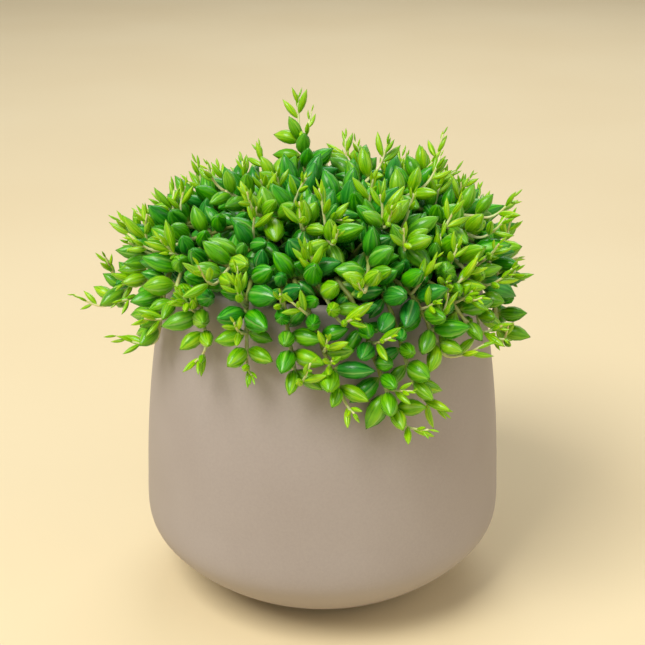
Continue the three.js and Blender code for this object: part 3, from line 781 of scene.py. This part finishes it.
def damp_peat():
    """Potting mix of peat and bark: nearly black brown, with lighter fibres and crumbs, dull and
    rough all over."""
    material, tree = new_material("damp_peat")
    place = add_node(tree, "ShaderNodeTexCoord").outputs["Object"]
    crumbs = add_node(
        tree,
        "ShaderNodeTexVoronoi",
        {"Scale": 1 / (2.2 * MM), "feature": "F1"},
        {"Vector": place},
    )
    grains = add_node(
        tree,
        "ShaderNodeTexNoise",
        {"Scale": 1 / (0.8 * MM), "Detail": 5.0, "Roughness": 0.7},
        {"Vector": place},
    )
    shade = add_node(
        tree,
        "ShaderNodeMath",
        {"operation": "MULTIPLY"},
        {0: crumbs.outputs["Color"], 1: grains.outputs["Fac"]},
    )
    colour = add_node(
        tree,
        "ShaderNodeValToRGB",
        {"stops": [(0.05, "#120C08"), (0.3, "#2C1F16"), (0.6, "#4F3B29"), (0.85, "#7C6349")]},
        {"Fac": shade.outputs["Value"]},
    )
    bump = add_node(
        tree,
        "ShaderNodeBump",
        {"Strength": 0.8, "Distance": 0.8 * MM},
        {"Height": grains.outputs["Fac"]},
    )
    finish_surface(
        tree,
        {"IOR": 1.4, "Roughness": 0.92},
        {"Base Color": colour.outputs["Color"], "Normal": bump.outputs["Normal"]},
    )
    return material


def painted_tabletop():
    """A tabletop with a matte cream paint: an even pale warm surface under the pot."""
    material, tree = new_material("painted_tabletop")
    place = add_node(tree, "ShaderNodeTexCoord").outputs["Object"]
    clouds = add_node(
        tree, "ShaderNodeTexNoise", {"Scale": 1 / (300 * MM), "Detail": 2.0}, {"Vector": place}
    )
    colour = add_node(
        tree,
        "ShaderNodeValToRGB",
        {"stops": [(0.3, "#E6D2A6"), (0.7, "#EAD8AE")]},
        {"Fac": clouds.outputs["Fac"]},
    )
    finish_surface(tree, {"Roughness": 0.7}, {"Base Color": colour.outputs["Color"]})
    return material


# ---- The pot and its mix -------------------------------------------------------------------------

stoneware = matte_glazed_stoneware()
leaf_skin = waxy_leaf_skin()
stem_skin = soft_stem_skin()
peat = damp_peat()

outline = pot_outline()
rim_height = outline[:, 1].max()
outer_wall = outline[: outline[:, 1].argmax() + 1]
wall_line = np.maximum(smooth_line(outline, OUTLINE_SPACING), 0)  # stands flat on its foot
make_piece(
    "thrown_pot", [turned_round(wall_line, POT_SIDES)], stoneware, "ceramic", "pot"
)

mix_low, mix_high = (np.array(corner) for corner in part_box("potting_mix"))
mix_points = welded("potting_mix")[0]
upper = mix_points[mix_points[:, 2] > mix_high[2] - MIX_CORNER]
edge_height = upper[np.hypot(upper[:, 0], upper[:, 1]).argmax(), 2]
mix_outline, edge_radius = potting_mix_outline(outline, edge_height, mix_high[2])
points, quads, triangles, values = turned_round(mix_outline, POT_SIDES)
points = crumbled(points, edge_height, edge_radius)
make_piece(
    "potting_mix_ball", [(points, quads, triangles, values)], peat, "potting_mix", "potting_mix"
)

# ---- The strands ---------------------------------------------------------------------------------

strand_nodes = sorted(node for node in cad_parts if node.startswith("strand_"))
strands = {node: read_strand(node, mix_low, mix_high) for node in strand_nodes}

# Spheres that stand for the grown leaves, which the shoots keep off.
shares = np.array([0.15, 0.4, 0.65, 0.9])
shape = np.interp(shares, LEAF_ALONG, LEAF_WIDTH)
every_leaf = np.concatenate([leaves for _, leaves in strands.values()])
leaf_feet, leaf_tips = every_leaf[:, :3], every_leaf[:, 3:6]
blobs = np.concatenate(
    [
        np.column_stack([leaf_feet * (1 - t) + leaf_tips * t, every_leaf[:, 6] * f])
        for t, f in zip(shares, shape)
    ]
)

lines = {node: smooth_line(stem[:, :3], STEM_SPACING) for node, (stem, _) in strands.items()}
blobs = np.concatenate(
    [blobs]
    + [np.column_stack([line[::2], np.full(len(line[::2]), 0.8 * MM)]) for line in lines.values()]
)

for node, (stem, leaves) in strands.items():
    line = lines[node]
    reach = np.concatenate([[0], np.cumsum(np.linalg.norm(np.diff(line, axis=0), axis=1))])
    to_tip = reach[-1] - reach
    coarse = np.linspace(0, 1, len(stem))
    thickness = np.interp(reach / reach[-1], coarse, stem[:, 3]) * STEM_FILL
    inner = np.flatnonzero((line[:, 2] > mix_high[2] + 5 * MM) | (reach > 22 * MM))
    furthest = np.linalg.norm(leaves[:, 3:6] - line[-1], axis=1).max()
    inner = inner[to_tip[inner] > furthest - 4 * MM]
    step = int(round(SPARE_SPACING / STEM_SPACING))
    spare = spare_leaves(line, inner[::-step])
    leaves = np.concatenate([leaves, spare])
    feet, tips, radii = leaves[:, :3], leaves[:, 3:6], leaves[:, 6]
    nearest = np.linalg.norm(line[:, None] - feet[None], axis=-1)
    swelling = np.exp(-((np.maximum(nearest.min(1) - 0.8 * MM, 0) / NODE_WIDTH) ** 2))
    stem_youth = np.clip(1.05 - to_tip / STEM_YOUTH_SPAN, 0.12, 1)
    parts = [tube(line, thickness * (1 + NODE_SWELLING * swelling), stem_youth)]

    from_tip = to_tip[nearest.argmin(0)]
    stray = random.normal(0, 0.13, len(leaves))
    youth = np.clip(0.62 - from_tip / LEAF_YOUTH_SPAN + stray, 0.0, 0.8)
    bluish = np.clip(random.normal(0.3, 0.4, len(leaves)), 0, 1) * (1 - youth)
    growth = np.stack([youth, bluish, random.uniform(0, 1, len(leaves))], axis=1)
    bows = random.uniform(-0.01, 0.06, len(leaves))
    middles = (feet + tips) / 2
    tops = outward(middles) + 0.35 * random.normal(0, 1, middles.shape)
    grown = leaf_skins(feet, tips, radii, tops, bows, growth)

    shoots = []
    ahead = unit(line[-1] - line[-3])
    leafy = np.flatnonzero((to_tip > 7 * MM) & (to_tip < 0.45 * reach[-1]))
    spots = random.choice(leafy, random.poisson(SIDE_SHOOTS_PER_STRAND), replace=False)
    for spot in [len(line) - 1, *spots]:
        start = line[spot]
        at_tip = spot == len(line) - 1
        lead = ahead if at_tip else across(outward(start), unit(line[spot + 1] - line[spot]))
        wanted = unit((0.4 if at_tip else 0.15) * lead + 0.85 * UP + 0.4 * outward(start))
        length = random.uniform(*SHOOT_LENGTH) * (1 if at_tip else SIDE_SHOOT_EXTRA)
        heading = clear_heading(start, lead, wanted, length)
        base_radius = thickness[-1] if at_tip else SHOOT_RADIUS
        shoot_stem, shoot_leaves, filled = grow_shoot(start, lead, heading, length, base_radius)
        parts.append(shoot_stem)
        shoots.append(shoot_leaves)
        blobs = np.concatenate([blobs, np.column_stack([filled, np.full(len(filled), 1.4 * MM)])])

    make_piece(f"{node}_stem", parts, stem_skin, "succulent", node)
    make_piece(f"{node}_leaves", [grown], leaf_skin, "succulent", node)
    make_piece(f"{node}_shoots", shoots, leaf_skin, "succulent", node)

# ---- Tabletop, light and camera ------------------------------------------------------------------

tabletop = bpy.data.meshes.new("tabletop")
corners = [(-1, -1), (1, -1), (1, 1), (-1, 1)]
tabletop.from_pydata(
    [(x * TABLETOP_HALF, y * TABLETOP_HALF, 0) for x, y in corners], [], [(0, 1, 2, 3)]
)
tabletop.materials.append(painted_tabletop())
floor = bpy.data.objects.new("tabletop", tabletop)
bpy.context.scene.collection.objects.link(floor)


def soft_light(name, place, size, watts, colour):
    """A square soft light that looks at the middle of the plant."""
    lamp = bpy.data.lights.new(name, "AREA")
    lamp.size = size
    lamp.energy = watts
    lamp.color = linear(colour)[:3]
    light = bpy.data.objects.new(name, lamp)
    bpy.context.scene.collection.objects.link(light)
    aim = LIGHT_AIM - np.array(place)
    light.location = place
    level = math.hypot(aim[0], aim[1])
    light.rotation_euler = (math.atan2(level, -aim[2]), 0, math.atan2(-aim[0], aim[1]))


soft_light("window", (-0.55, -0.6, 1.2), 0.7, 18, "#FFFDFA")
soft_light("fill", (1.1, -0.5, 0.7), 1.2, 4, "#FFF6EA")
soft_light("behind", (0.2, 1.1, 1.1), 0.9, 7, "#F8FAFF")

world = bpy.data.worlds.new("room")
world.use_nodes = True
world.node_tree.nodes["Background"].inputs["Color"].default_value = linear("#F1F1F3")
world.node_tree.nodes["Background"].inputs["Strength"].default_value = 0.42
bpy.context.scene.world = world
bpy.context.scene.view_settings.view_transform = "Standard"

camera = bpy.data.objects.new("camera", bpy.data.cameras.new("camera"))
camera.data.lens = CAMERA_LENS
camera.data.sensor_width = 36
camera.location = CAMERA_PLACE
camera.rotation_euler = (math.radians(CAMERA_TILT), 0, 0)
bpy.context.scene.collection.objects.link(camera)
bpy.context.scene.camera = camera
